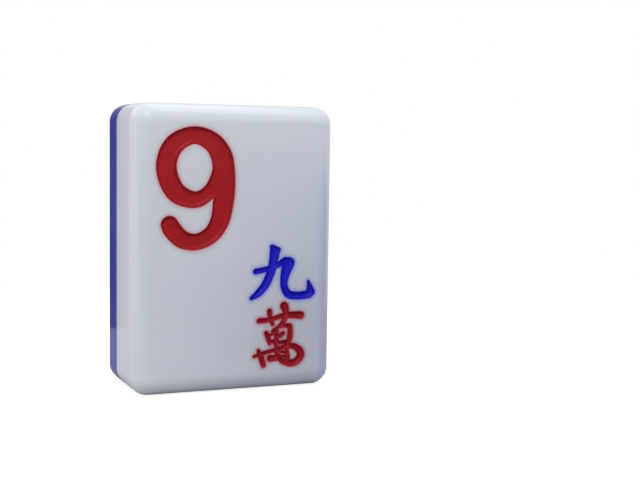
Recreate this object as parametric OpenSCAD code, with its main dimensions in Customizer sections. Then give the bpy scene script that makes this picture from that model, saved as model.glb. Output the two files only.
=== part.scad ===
// Mahjong tile, standing on its short end. A white face layer is bonded to a blue back layer, every
// edge is tumbled round, and the strokes engraved in the face hold dried paint.
// +X runs to the right of the face, +Y towards the back and +Z up. The origin is the middle of the foot.

/* [Tile] */
// Width across the face
tile_w = 22; // [20:0.5:26]
// Thickness through both layers
tile_t = 12; // [10:0.5:18]
// Height of the tile as it stands
tile_h = 30; // [29:0.5:36]
// Thickness of the blue back layer
back_t = 4.8; // [3:0.1:6]
// Radius of the tumbled edges and corners
edge_r = 1.9; // [1:0.1:2.2]

/* [Seam] */
// Width of the fine groove where the two layers meet
seam_w = 0.2; // [0.1:0.02:0.4]
// Depth of that groove
seam_d = 0.1; // [0.04:0.01:0.2]

/* [Engraving] */
// Depth of the engraved strokes below the face
engrave_d = 0.6; // [0.45:0.05:1]
// Drop from the face to the edge of the paint
paint_drop = 0.05; // [0.02:0.01:0.1]
// Depth of the hollow that the paint dries to along the middle of a stroke
hollow_d = 0.3; // [0.1:0.02:0.34]
// Paint left standing along the walls of a stroke
paint_rim = 0.05; // [0.03:0.01:0.08]

/* [Numeral] */
// Height of the numeral
numeral_h = 12.5; // [11:0.25:14]
// Width of the numeral
numeral_w = 8.4; // [7:0.2:9]
// Space from the tile's left side to the numeral
numeral_side = 2.3; // [2.2:0.1:3]
// Space from the tile's top to the numeral
numeral_top = 2.4; // [2.3:0.1:4]

/* [Rank] */
// Height of the upper character, which gives the rank
rank_h = 5.95; // [5:0.05:7]
// Width of the upper character
rank_w = 7.45; // [6:0.05:7.6]
// Space from the tile's right side to the upper character
rank_side = 2.1; // [2:0.1:3]
// Space between the two characters
rank_gap = 0.25; // [0.15:0.05:1]

/* [Suit] */
// Height of the lower character, which gives the suit
suit_h = 7; // [6:0.1:7.4]
// Width of the lower character
suit_w = 5.9; // [5:0.1:6.6]
// Space from the tile's right side to the lower character
suit_side = 3.3; // [2.4:0.1:4]
// Space from the tile's foot to the lower character
suit_foot = 2.3; // [2.2:0.1:3]

/* [Hidden] */

$fn = 96;

// How far every cut runs past the surface that it opens
overrun = 0.4;

// Place of the seam through the thickness, and of the face
seam_y = tile_t / 2 - back_t;
face_y = -tile_t / 2;

// Distances from the middle of the tile to the centres of its rounded edges
core_x = tile_w / 2 - edge_r;
core_y = tile_t / 2 - edge_r;
core_z = tile_h / 2 - edge_r;

// Left edge and foot of each mark, seen from the front
numeral_at = [numeral_side - tile_w / 2, tile_h - numeral_top - numeral_h];
suit_at = [tile_w / 2 - suit_side - suit_w, suit_foot];
rank_at = [tile_w / 2 - rank_side - rank_w, suit_foot + suit_h + rank_gap];

// Sections made from each row of a stroke, on the large numeral and on the two characters
numeral_steps = 5;
character_steps = 3;

// Angles of the sections that round off the end of a stroke
tip_angles = [78, 52, 26];

// Section of the hollow in the paint, as shares of half its width and of its depth
hollow_shares = [[-0.82, 0.5], [-0.45, 1], [0.45, 1], [0.82, 0.5]];

// Most depth of the hollow, as a share of half its width, so that thin strokes stay shallow
hollow_steep_share = 0.8;

// A row of a stroke holds its place across and up the mark, and its width, as shares of the mark's
// width, height and width. The bowl of the numeral closes on itself, and the other strokes are open.
bowl_shares = [[0.13, 0.672, 0.252], [0.225, 0.852, 0.243], [0.482, 0.933, 0.21], [0.739, 0.859, 0.248],
    [0.849, 0.675, 0.276], [0.694, 0.486, 0.185], [0.488, 0.409, 0.2], [0.241, 0.478, 0.245]];

tail_shares = [[0.829, 0.774, 0.26], [0.853, 0.675, 0.279], [0.863, 0.585, 0.277], [0.865, 0.493, 0.272],
    [0.851, 0.383, 0.263], [0.817, 0.251, 0.243], [0.734, 0.146, 0.22], [0.61, 0.083, 0.203],
    [0.467, 0.061, 0.201], [0.321, 0.089, 0.216], [0.211, 0.162, 0.226], [0.173, 0.205, 0.218]];

rank_shares = [
    [[0.329, 0.95, 0.068], [0.422, 0.893, 0.076]],
    [[0.37, 0.869, 0.151], [0.351, 0.708, 0.128], [0.317, 0.521, 0.122], [0.234, 0.286, 0.118],
        [0.123, 0.129, 0.1], [0.026, 0.049, 0.055]],
    [[0.085, 0.519, 0.079], [0.242, 0.555, 0.075], [0.4, 0.617, 0.078], [0.535, 0.698, 0.11]],
    [[0.585, 0.656, 0.17], [0.545, 0.522, 0.148], [0.515, 0.36, 0.112], [0.521, 0.223, 0.105],
        [0.588, 0.096, 0.112], [0.751, 0.065, 0.108], [0.899, 0.089, 0.118]],
    [[0.886, 0.32, 0.035], [0.908, 0.224, 0.085], [0.922, 0.128, 0.136]]];

suit_shares = [
    [[0.12, 0.73, 0.09], [0.33, 0.74, 0.08], [0.52, 0.78, 0.09], [0.71, 0.8, 0.11], [0.92, 0.79, 0.13]],
    [[0.32, 0.87, 0.09], [0.33, 0.77, 0.08], [0.38, 0.67, 0.07]],
    [[0.6, 0.94, 0.15], [0.64, 0.83, 0.11], [0.6, 0.72, 0.09], [0.51, 0.63, 0.07], [0.38, 0.56, 0.06]],
    [[0.41, 0.58, 0.06], [0.56, 0.64, 0.07], [0.71, 0.63, 0.09]],
    [[0.72, 0.62, 0.08], [0.72, 0.51, 0.1], [0.7, 0.39, 0.09]],
    [[0.69, 0.39, 0.08], [0.52, 0.38, 0.07], [0.41, 0.38, 0.06]],
    [[0.26, 0.54, 0.08], [0.3, 0.46, 0.09], [0.33, 0.37, 0.06]],
    [[0.3, 0.49, 0.05], [0.45, 0.54, 0.05]],
    [[0.33, 0.4, 0.05], [0.46, 0.43, 0.05]],
    [[0.58, 0.52, 0.08], [0.52, 0.48, 0.07]],
    [[0.46, 0.56, 0.08], [0.46, 0.38, 0.09], [0.47, 0.24, 0.09], [0.5, 0.14, 0.07]],
    [[0.03, 0.19, 0.05], [0.2, 0.23, 0.07], [0.43, 0.27, 0.07]],
    [[0.11, 0.28, 0.06], [0.17, 0.16, 0.1], [0.21, 0.05, 0.09]],
    [[0.49, 0.26, 0.07], [0.6, 0.31, 0.09], [0.78, 0.32, 0.1], [0.91, 0.24, 0.13], [0.92, 0.15, 0.14],
        [0.84, 0.08, 0.13], [0.72, 0.06, 0.12], [0.58, 0.1, 0.1], [0.5, 0.15, 0.07]],
    [[0.66, 0.28, 0.07], [0.67, 0.14, 0.1]],
    [[0.34, 0.15, 0.12], [0.46, 0.15, 0.1]],
    [[0.49, 0.24, 0.05], [0.64, 0.23, 0.05]],
    [[0.49, 0.17, 0.05], [0.64, 0.17, 0.05]]];

// Rows of a stroke in millimetres, from shares of a mark of size w by h whose corner is at p
function placed(rows, p, w, h) = [for (r = rows) [p.x + r[0] * w, p.y + r[1] * h, r[2] * w]];

bowl_rows = placed(bowl_shares, numeral_at, numeral_w, numeral_h);
tail_rows = placed(tail_shares, numeral_at, numeral_w, numeral_h);
rank_strokes = [for (s = rank_shares) placed(s, rank_at, rank_w, rank_h)];
suit_strokes = [for (s = suit_shares) placed(s, suit_at, suit_w, suit_h)];

// Row a share t of the way from b to c, on the smooth curve through a, b, c and d
function between(a, b, c, d, t) =
    b + (c - a) * t / 2 + (2 * a - 5 * b + 4 * c - d) * t * t / 2 + (3 * b - a - 3 * c + d) * t * t * t / 2;

// Row i of a stroke, where a closed one runs on past its last row and an open one stays there
function row_at(rows, i, closed) =
    rows[closed ? (i + len(rows)) % len(rows) : max(0, min(i, len(rows) - 1))];

// Rows of a stroke with more filled in between them
function filled(rows, steps, closed = false) = [
    for (i = [0:len(rows) - (closed ? 1 : 2)], k = [0:steps - 1])
        between(row_at(rows, i - 1, closed), rows[i], row_at(rows, i + 1, closed),
            row_at(rows, i + 2, closed), k / steps),
    if (!closed) rows[len(rows) - 1]];

function unit(v) = v / norm(v);
function flat(row) = [row.x, row.y];

// Direction of a stroke at row i
function along(rows, i, closed = false) =
    unit(flat(row_at(rows, i + 1, closed)) - flat(row_at(rows, i - 1, closed)));

// A section is the pair of points where a stroke's two sides cross it: middle c, direction d, half width r
function section(c, d, r) = [c + r * [-d.y, d.x], c - r * [-d.y, d.x]];

// Sections that round off an end at c, where the stroke points outwards along d, from the tip inwards
function tip(c, d, r) = [for (a = tip_angles) section(c + r * sin(a) * d, d, r * cos(a))];

// Section of a stroke at row i, each side moved inwards by inset
function section_at(rows, i, inset, closed = false) =
    section(flat(rows[i]), along(rows, i, closed), rows[i].z / 2 - inset);

// All sections of an open stroke
function stroke(rows, steps, inset = 0) =
    let (
        f = filled(rows, steps),
        last = len(f) - 1,
        start = tip(flat(f[0]), -along(f, 0), f[0].z / 2 - inset),
        end = tip(flat(f[last]), along(f, last), f[last].z / 2 - inset))
    [for (s = start) [s[1], s[0]],
        for (i = [0:last]) section_at(f, i, inset),
        for (i = [len(end) - 1:-1:0]) end[i]];

// All sections of a closed stroke
function loop(rows, steps, inset = 0) =
    let (f = filled(rows, steps, closed = true))
    [for (i = [0:len(f) - 1]) section_at(f, i, inset, closed = true)];

// Ring of points of the hollow at one section: up in the air at both sides and down in between
function hollow_ring(s) =
    let (
        mid = (s[0] + s[1]) / 2,
        half = (s[0] - s[1]) / 2,
        deep = min(hollow_d, hollow_steep_share * norm(half)),
        top = -paint_drop)
    [[s[1].x, s[1].y, top + overrun],
        for (p = hollow_shares) let (q = mid + p[0] * half) [q.x, q.y, top - p[1] * deep],
        [s[0].x, s[0].y, top + overrun]];

// Solid that hollows the paint along a run of sections
module hollow(sections, closed = false) {
    n = len(sections);
    m = len(hollow_shares) + 2;
    runs = closed ? n : n - 1;
    points = [for (s = sections) each hollow_ring(s)];
    walls = [for (i = [0:runs - 1], k = [0:m - 1])
        [i * m + k, (i + 1) % n * m + k, (i + 1) % n * m + (k + 1) % m, i * m + (k + 1) % m]];
    ends = closed ? [] : [[for (k = [0:m - 1]) k], [for (k = [m - 1:-1:0]) (n - 1) * m + k]];
    polyhedron(points, concat(walls, ends), convexity = 6);
}

// Outline of a run of sections: up one side and back along the other
module outline(sections) {
    polygon([for (s = sections) s[0], for (i = [len(sections) - 1:-1:0]) sections[i][1]]);
}

// Outline of the numeral: the bowl and the tail, less the eye of the bowl
module numeral_outline() {
    bowl = loop(bowl_rows, numeral_steps);
    difference() {
        union() {
            polygon([for (s = bowl) s[0]]);
            outline(stroke(tail_rows, numeral_steps));
        }
        polygon([for (s = bowl) s[1]]);
    }
}

// Outline of a character made of open strokes
module character_outline(strokes) {
    for (s = strokes) outline(stroke(s, character_steps));
}

// Turns a mark drawn flat, with its height along Y, up onto the face, so that its own Z points out of it
module on_face() {
    translate([0, face_y, 0]) rotate([90, 0, 0]) children();
}

// Pocket that an outline leaves in the face
module pocket() {
    on_face() translate([0, 0, -engrave_d]) linear_extrude(engrave_d + overrun) children();
}

// Paint that fills an outline from the floor of its pocket to just below the face
module fill() {
    translate([0, 0, -engrave_d]) linear_extrude(engrave_d - paint_drop) children();
}

// Rectangle with round corners, in the middle of its plane
module round_rectangle(w, h) {
    square([w - 2 * edge_r, h], center = true);
    square([w, h - 2 * edge_r], center = true);
    for (x = [-1, 1], y = [-1, 1]) translate([x * (w / 2 - edge_r), y * (h / 2 - edge_r)]) circle(edge_r);
}

// Half of a round-ended strip as high as the tile, outwards from x = 0
module edge_strip() {
    intersection() {
        union() {
            square([2 * edge_r, 2 * core_z], center = true);
            for (y = [-1, 1]) translate([0, y * core_z]) circle(edge_r);
        }
        translate([0, -tile_h / 2 - overrun]) square([edge_r + overrun, tile_h + 2 * overrun]);
    }
}

// The whole rounded block, before it is parted into layers: a middle, two sides and four upright edges
module rounded_block() {
    translate([0, 0, tile_h / 2]) {
        translate([-core_x, 0, 0]) rotate([90, 0, 90]) linear_extrude(2 * core_x)
            round_rectangle(tile_t, tile_h);
        for (side = [0, 180]) rotate(side) translate([core_x, core_y, 0]) rotate([90, 0, 0])
            linear_extrude(2 * core_y) edge_strip();
        for (x = [0, 1], y = [0, 1]) mirror([x, 0, 0]) mirror([0, y, 0])
            translate([core_x, core_y, 0]) rotate_extrude(angle = 90) edge_strip();
    }
}

// Half-space on one side of the seam: in front of it, or behind it
module past_seam(front) {
    size = [tile_w, tile_t, tile_h] + 2 * overrun * [1, 1, 1];
    y = front ? seam_y - size.y : seam_y;
    translate([-size.x / 2, y, -overrun]) cube(size);
}

// Section of the seam's groove, outwards along x from its floor
module seam_section() {
    half = seam_w / 2 * (seam_d + overrun) / seam_d;
    polygon([[-seam_d, 0], [overrun, -half], [overrun, half]]);
}

// The groove round the tile: a bar along each side and a quarter ring round each corner
module seam_groove() {
    translate([0, seam_y, tile_h / 2]) rotate([90, 0, 0]) {
        for (side = [0, 180]) rotate(side) {
            translate([tile_w / 2, core_z, 0]) rotate([90, 0, 0]) linear_extrude(2 * core_z) seam_section();
            translate([-core_x, tile_h / 2, 0]) rotate([90, 0, 90]) linear_extrude(2 * core_x) seam_section();
        }
        for (x = [0, 1], y = [0, 1]) mirror([x, 0, 0]) mirror([0, y, 0])
            translate([core_x, core_z, 0]) rotate_extrude(angle = 90) translate([edge_r, 0]) seam_section();
    }
}

module face_block() {
    color("whitesmoke") difference() {
        rounded_block();
        past_seam(front = false);
        seam_groove();
        pocket() numeral_outline();
        pocket() character_outline(rank_strokes);
        pocket() character_outline(suit_strokes);
    }
}

module back_block() {
    color("mediumblue") difference() {
        rounded_block();
        past_seam(front = true);
        seam_groove();
    }
}

module numeral_paint() {
    color("firebrick") on_face() difference() {
        fill() numeral_outline();
        hollow(loop(bowl_rows, numeral_steps, paint_rim), closed = true);
        hollow(stroke(tail_rows, numeral_steps, paint_rim));
    }
}

module character_paint(strokes) {
    on_face() difference() {
        fill() character_outline(strokes);
        for (s = strokes) hollow(stroke(s, character_steps, paint_rim));
    }
}

module rank_paint() {
    color("darkblue") character_paint(rank_strokes);
}

module suit_paint() {
    color("darkred") character_paint(suit_strokes);
}

face_block();
back_block();
numeral_paint();
rank_paint();
suit_paint();
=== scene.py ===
"""Dresses a packed mahjong tile: two bonded layers of polished plastic, and enamel in its engraved strokes.

The white face layer, the blue back layer and the three coats of enamel are modelled again, smooth and
fine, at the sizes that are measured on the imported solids, and each one stands for its own node.
"""

import logging
import math
from dataclasses import dataclass, field
from enum import Enum

import bpy
import numpy as np
from mathutils import Matrix, Vector
from mathutils.geometry import delaunay_2d_cdt


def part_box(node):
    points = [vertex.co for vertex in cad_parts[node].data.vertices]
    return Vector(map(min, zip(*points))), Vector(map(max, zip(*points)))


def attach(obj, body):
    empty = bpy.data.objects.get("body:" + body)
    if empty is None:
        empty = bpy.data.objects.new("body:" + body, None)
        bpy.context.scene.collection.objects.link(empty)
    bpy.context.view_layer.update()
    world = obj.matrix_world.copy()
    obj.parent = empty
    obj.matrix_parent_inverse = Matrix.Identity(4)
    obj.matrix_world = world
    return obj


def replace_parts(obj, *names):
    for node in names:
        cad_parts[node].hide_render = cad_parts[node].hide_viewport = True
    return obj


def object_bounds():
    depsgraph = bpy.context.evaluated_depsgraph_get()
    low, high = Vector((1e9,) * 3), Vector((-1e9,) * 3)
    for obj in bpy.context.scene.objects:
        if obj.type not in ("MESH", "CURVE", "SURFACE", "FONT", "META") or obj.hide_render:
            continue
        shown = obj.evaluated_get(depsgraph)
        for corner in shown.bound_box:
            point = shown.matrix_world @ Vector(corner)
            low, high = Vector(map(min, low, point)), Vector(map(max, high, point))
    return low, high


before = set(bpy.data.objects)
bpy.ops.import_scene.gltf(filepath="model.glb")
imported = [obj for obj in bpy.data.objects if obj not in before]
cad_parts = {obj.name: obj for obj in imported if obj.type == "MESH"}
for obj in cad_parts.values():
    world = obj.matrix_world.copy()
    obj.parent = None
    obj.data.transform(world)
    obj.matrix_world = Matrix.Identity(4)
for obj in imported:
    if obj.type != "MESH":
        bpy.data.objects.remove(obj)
cad_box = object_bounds()

log = logging.getLogger("tile")

MM = 0.001
SNAP = 1e-7
TINY = 1e-12
BODY = "root"
HOLLOW_MM = 0.3
WHITE = (1.0, 1.0, 1.0, 1.0)


class Enamel(Enum):
    """The coats of enamel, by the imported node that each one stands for."""

    NUMERAL = "numeral_paint"
    RANK = "rank_paint"
    SUIT = "suit_paint"


def node_points(name: str) -> np.ndarray:
    """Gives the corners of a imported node.

    Args:
        name: The node's name.

    Returns:
        One row of x, y and z for each vertex, in metres.
    """
    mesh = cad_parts[name].data
    points = np.empty(len(mesh.vertices) * 3, np.float32)
    mesh.vertices.foreach_get("co", points)
    return points.reshape(-1, 3).astype(float)


def unit(vectors: np.ndarray) -> np.ndarray:
    """Scales each row of an array to a length of one.

    Args:
        vectors: The rows.

    Returns:
        The scaled rows.
    """
    return vectors / np.maximum(np.linalg.norm(vectors, axis=-1, keepdims=True), TINY)


@dataclass(frozen=True)
class TileSizes:
    """Sizes of the tile in metres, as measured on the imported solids."""

    half_width: float
    height: float
    face_y: float
    back_y: float
    seam_y: float
    edge_r: float
    groove_half: float
    groove_d: float

    @classmethod
    def measured(cls) -> "TileSizes":
        """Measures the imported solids.

        Returns:
            The sizes of the tile.
        """
        low, high = cad_box
        back = node_points("back_block")
        seam_y = back[:, 1].min()
        flat_back = back[back[:, 1] > high.y - SNAP]
        rim = back[back[:, 1] < seam_y + SNAP]
        side = back[back[:, 0] > high.x - SNAP]
        return cls(
            half_width=high.x,
            height=high.z,
            face_y=low.y,
            back_y=high.y,
            seam_y=seam_y,
            edge_r=high.x - flat_back[:, 0].max(),
            groove_half=side[:, 1].min() - seam_y,
            groove_d=high.x - rim[:, 0].max(),
        )

    @property
    def core(self) -> np.ndarray:
        """Half the width and half the height of the flat that the rounded edges leave."""
        return np.array([self.half_width - self.edge_r, self.height / 2 - self.edge_r])


class Graph:
    """Adds nodes to a node tree and links them."""

    def __init__(self, tree: bpy.types.NodeTree) -> None:
        """Takes the tree that the nodes go into."""
        self.tree = tree

    @classmethod
    def of(cls, owner: bpy.types.Material | bpy.types.World) -> "Graph":
        """Empties the node tree of a material or of the world.

        Args:
            owner: The material or the world.

        Returns:
            Its graph.
        """
        owner.use_nodes = True
        owner.node_tree.nodes.clear()
        return cls(owner.node_tree)

    def add(self, kind: str, inputs: dict | None = None, **settings: object) -> bpy.types.Node:
        """Adds one node.

        Args:
            kind: The node's type name.
            inputs: A value or a socket for each input, by its name or its number.
            **settings: The node's own properties.

        Returns:
            The new node.
        """
        node = self.tree.nodes.new(kind)
        for name, value in settings.items():
            setattr(node, name, value)
        for key, value in (inputs or {}).items():
            if isinstance(value, bpy.types.NodeSocket):
                self.tree.links.new(value, node.inputs[key])
            else:
                node.inputs[key].default_value = value
        return node

    def math(self, operation: str, *values: object, clamp: bool = False) -> bpy.types.NodeSocket:
        """Adds a Math node, in a shader or a geometry tree, and gives its result."""
        inputs = dict(enumerate(values))
        return self.add("ShaderNodeMath", inputs, operation=operation, use_clamp=clamp).outputs[0]

    def span(self, value: object, low: object, high: object, to: tuple = (0.0, 1.0)) -> bpy.types.NodeSocket:
        """Maps a value from one range to another, and holds it there."""
        inputs = {"Value": value, "From Min": low, "From Max": high, "To Min": to[0], "To Max": to[1]}
        return self.add("ShaderNodeMapRange", inputs).outputs["Result"]

    def noise(self, place: bpy.types.NodeSocket, scale: object, detail: float = 2.0) -> bpy.types.NodeSocket:
        """Adds a noise from 0 to 1, read at a place."""
        inputs = {"Vector": place, "Scale": scale, "Detail": detail}
        return self.add("ShaderNodeTexNoise", inputs).outputs[0]

    def blend(self, share: object, first: object, second: object, mode: str = "MIX") -> bpy.types.NodeSocket:
        """Mixes two colours by the share of the second one."""
        inputs = {0: share, 6: first, 7: second}
        return self.add("ShaderNodeMix", inputs, data_type="RGBA", blend_type=mode).outputs[2]

    def shaded(self, colour: object, shade: bpy.types.NodeSocket) -> bpy.types.NodeSocket:
        """Multiplies each part of a colour by a value."""
        grey = self.add("ShaderNodeCombineColor", {0: shade, 1: shade, 2: shade}).outputs[0]
        return self.blend(1.0, colour, grey, "MULTIPLY")


@dataclass(frozen=True)
class Surface:
    """A mesh in numbers: its points, its faces, and a normal for each corner of each face."""

    points: np.ndarray
    faces: list
    normals: np.ndarray

    def make(self, name: str, marks: dict | None = None) -> bpy.types.Object:
        """Makes the object.

        Args:
            name: The object's name.
            marks: Values to keep on the points, by the attribute's name, as a number or a colour each.

        Returns:
            The object, linked to the scene.
        """
        mesh = bpy.data.meshes.new(name)
        mesh.from_pydata(self.points.tolist(), [], self.faces)
        mesh.polygons.foreach_set("use_smooth", [True] * len(mesh.polygons))
        for key, values in (marks or {}).items():
            kind, part = ("FLOAT", "value") if values.ndim == 1 else ("FLOAT_VECTOR", "vector")
            attribute = mesh.attributes.new(key, kind, "POINT")
            attribute.data.foreach_set(part, values.astype(np.float32).ravel())
        mesh.normals_split_custom_set(self.normals.tolist())
        mesh.update()
        made = bpy.data.objects.new(name, mesh)
        bpy.context.scene.collection.objects.link(made)
        return made


@dataclass(frozen=True)
class LayerForm:
    """How finely a layer is divided, as counts of rows."""

    flat: int = 6
    round: int = 12
    straight: int = 2

    @property
    def across(self) -> int:
        """Rows of points across the layer."""
        return self.flat + 2 * self.round + 1

    @property
    def through(self) -> int:
        """Rows of points through the layer, with one row more for the groove."""
        return self.round + self.straight + 2


class LayerTree:
    """The geometry tree of a rounded layer: a divided cube whose points follow one rule.

    Across the tile and up it, a point lies on the flat core or on the rounded edge outside it. Through the
    tile it lies on the rounding, on the straight wall, or in the groove beside the seam.
    """

    INPUTS = ("Core Width", "Core Height", "Foot To Middle", "Outer", "Seam", "Edge Radius", "Groove Half",
              "Groove Depth")
    NEARLY_NONE = 0.001
    NEARLY_ALL = 0.999

    def __init__(self, form: LayerForm) -> None:
        """Builds the tree.

        Args:
            form: How finely the layer is divided.
        """
        self.form = form
        self.tree = bpy.data.node_groups.new("rounded_layer", "GeometryNodeTree")
        face = self.tree.interface
        for name in self.INPUTS:
            face.new_socket(name, in_out="INPUT", socket_type="NodeSocketFloat")
        face.new_socket("Open Face", in_out="INPUT", socket_type="NodeSocketBool")
        face.new_socket("Material", in_out="INPUT", socket_type="NodeSocketMaterial")
        face.new_socket("Geometry", in_out="OUTPUT", socket_type="NodeSocketGeometry")
        self.graph = Graph(self.tree)
        self.size = self.graph.add("NodeGroupInput").outputs
        self._build()

    def _edge(self, place: bpy.types.NodeSocket) -> tuple:
        """Parts one coordinate of the cube into its flat and its rounded share.

        Args:
            place: The coordinate, from -1 to 1.

        Returns:
            Its sign, its share of the flat core and its share of the rounding.
        """
        graph, start = self.graph, self.form.flat / (self.form.across - 1)
        reach = graph.math("ABSOLUTE", place)
        return graph.math("SIGN", place), graph.span(reach, 0.0, start), graph.span(reach, start, 1.0)

    def _even(self, share: bpy.types.NodeSocket) -> bpy.types.NodeSocket:
        """Gives the tangent of the angle at a share of the rounding, so that its rows are even."""
        return self.graph.math("TANGENT", self.graph.math("MULTIPLY", share, math.pi / 4))

    def _build(self) -> None:
        """Places the points of the cube and opens its face where that is asked for."""
        graph, size, form = self.graph, self.size, self.form
        cube = graph.add("GeometryNodeMeshCube", {
            "Size": (2, 2, 2), "Vertices X": form.across, "Vertices Y": form.through,
            "Vertices Z": form.across})
        position = graph.add("GeometryNodeInputPosition").outputs[0]
        place = graph.add("ShaderNodeSeparateXYZ", {0: position}).outputs
        side_x, flat_x, edge_x = self._edge(place[0])
        side_z, flat_z, edge_z = self._edge(place[2])

        depth = graph.span(place[1], -1.0, 1.0)
        rows = form.through - 1
        round_end, wall_end = form.round / rows, (form.round + form.straight) / rows
        edge_y = graph.span(depth, 0.0, round_end, to=(1.0, 0.0))
        wall = graph.span(depth, round_end, wall_end)
        groove = graph.span(depth, wall_end, 1.0)

        bulge = [self._even(edge) for edge in (edge_x, edge_y, edge_z)]
        widest = graph.math("MAXIMUM", graph.math("MAXIMUM", bulge[0], bulge[1]), bulge[2])
        length = graph.math("SQRT", graph.math("ADD", graph.math("ADD", *[
            graph.math("POWER", part, 2.0) for part in bulge[:2]]), graph.math("POWER", bulge[2], 2.0)))
        ratio = graph.math("DIVIDE", widest, length)
        widest_side = graph.math("MAXIMUM", bulge[0], bulge[2])
        on_side = graph.math("GREATER_THAN", widest_side, self.NEARLY_ALL)
        inset = graph.math("MULTIPLY", graph.math("MULTIPLY", groove, size["Groove Depth"]), on_side)
        swell = graph.math("SUBTRACT", graph.math("MULTIPLY", size["Edge Radius"], ratio),
                           graph.math("DIVIDE", inset, length))

        inward = graph.math("SIGN", graph.math("SUBTRACT", size["Seam"], size["Outer"]))
        thickness = graph.math("ABSOLUTE", graph.math("SUBTRACT", size["Seam"], size["Outer"]))
        wall_length = graph.math("SUBTRACT", graph.math("SUBTRACT", thickness, size["Edge Radius"]),
                                 size["Groove Half"])
        from_core = graph.math("ADD", graph.math("MULTIPLY", wall, wall_length),
                               graph.math("MULTIPLY", groove, size["Groove Half"]))
        through = graph.math("SUBTRACT", graph.math("ADD", from_core, size["Edge Radius"]),
                             graph.math("MULTIPLY", bulge[1], swell))

        x = graph.math("MULTIPLY", side_x, graph.math(
            "MULTIPLY_ADD", bulge[0], swell, graph.math("MULTIPLY", flat_x, size["Core Width"])))
        z = graph.math("MULTIPLY", side_z, graph.math(
            "MULTIPLY_ADD", bulge[2], swell, graph.math("MULTIPLY", flat_z, size["Core Height"])))
        at = graph.add("ShaderNodeCombineXYZ", {
            "X": x, "Y": graph.math("MULTIPLY_ADD", inward, through, size["Outer"]),
            "Z": graph.math("ADD", z, size["Foot To Middle"])})

        on_face = graph.math("MULTIPLY", graph.math("LESS_THAN", depth, self.NEARLY_NONE), graph.math(
            "LESS_THAN", graph.math("ADD", edge_x, edge_z), self.NEARLY_NONE))
        opened = graph.add("GeometryNodeDeleteGeometry", {
            "Geometry": cube.outputs["Mesh"],
            "Selection": graph.math("MULTIPLY", on_face, size["Open Face"])}, domain="FACE")
        placed = graph.add("GeometryNodeSetPosition", {
            "Geometry": opened.outputs[0], "Position": at.outputs[0]})
        turned = graph.add("GeometryNodeFlipFaces", {
            "Mesh": placed.outputs[0], "Selection": graph.math("LESS_THAN", inward, 0.0)})
        real = graph.add("GeometryNodeRealizeInstances", {"Geometry": turned.outputs[0]})
        dressed = graph.add("GeometryNodeSetMaterial", {
            "Geometry": real.outputs[0], "Material": size["Material"]})
        graph.add("NodeGroupOutput", {"Geometry": dressed.outputs[0]})

    def bake(self, values: dict) -> tuple:
        """Runs the tree once.

        Args:
            values: The value of each input, by its name.

        Returns:
            The points and the faces of the layer.
        """
        host = bpy.data.objects.new("layer", bpy.data.meshes.new("layer"))
        bpy.context.scene.collection.objects.link(host)
        modifier = host.modifiers.new("layer", "NODES")
        modifier.node_group = self.tree
        for item in self.tree.interface.items_tree:
            if item.in_out == "INPUT" and item.name in values:
                modifier[item.identifier] = values[item.name]
        graph = bpy.context.evaluated_depsgraph_get()
        mesh = bpy.data.meshes.new_from_object(host.evaluated_get(graph))
        points = np.array([vertex.co for vertex in mesh.vertices], float)
        faces = [tuple(polygon.vertices) for polygon in mesh.polygons]
        bpy.data.objects.remove(host)
        bpy.data.meshes.remove(mesh)
        return points, faces


@dataclass(frozen=True)
class Section:
    """How deep a surface lies, in millimetres, by its reach into the pocket from the pocket's outline."""

    reaches: np.ndarray
    depths: np.ndarray

    LIP_SHARES = np.array([1.0, 0.75, 0.5, 0.25, 0.07, 0.0])
    WALL_SHARE = 0.9
    SLOPE_SHARES = np.array([0.0, 0.07, 0.15, 0.25, 0.37, 0.5, 0.7, 1.0, 1.5, 2.1])
    SLOPE_POWER = 1.4

    @classmethod
    def pocket(cls, depth: float, lip: float = 0.035, draft: float = 0.02) -> "Section":
        """Gives the section of an engraved pocket: a softened lip, a steep wall and a flat floor.

        Args:
            depth: Depth of the pocket.
            lip: Radius of the lip, outside the outline.
            draft: Width of the wall, seen from the front.

        Returns:
            The section.
        """
        lip_reaches = -lip * cls.LIP_SHARES
        lip_depths = lip - np.sqrt(np.maximum(lip**2 - (lip_reaches + lip)**2, 0.0))
        depths = np.append(lip_depths, [cls.WALL_SHARE * depth, depth])
        return cls(np.append(lip_reaches, [draft, 3 * draft]), depths)

    @classmethod
    def enamel(cls, drop: float, hollow: float, run: float = 0.34) -> "Section":
        """Gives the section of dried enamel: high along the wall, and level past the run of its slope."""
        depths = drop + hollow * (1.0 - np.maximum(1.0 - cls.SLOPE_SHARES, 0.0)**cls.SLOPE_POWER)
        return cls(run * cls.SLOPE_SHARES, depths)

    def depth(self, reach: np.ndarray) -> np.ndarray:
        """Gives the depth of the surface at each reach into the pocket."""
        return np.interp(reach, self.reaches, self.depths)

    def slope(self, reach: np.ndarray) -> np.ndarray:
        """Gives the slope of the surface, eased from one stretch of the section to the next.

        Args:
            reach: Reaches into the pocket.

        Returns:
            The slope at each reach.
        """
        steps = np.diff(self.depths) / np.diff(self.reaches)
        at_rows = np.concatenate([[0.0], (steps[1:] + steps[:-1]) / 2, [0.0]])
        return np.interp(reach, self.reaches, at_rows)


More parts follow.
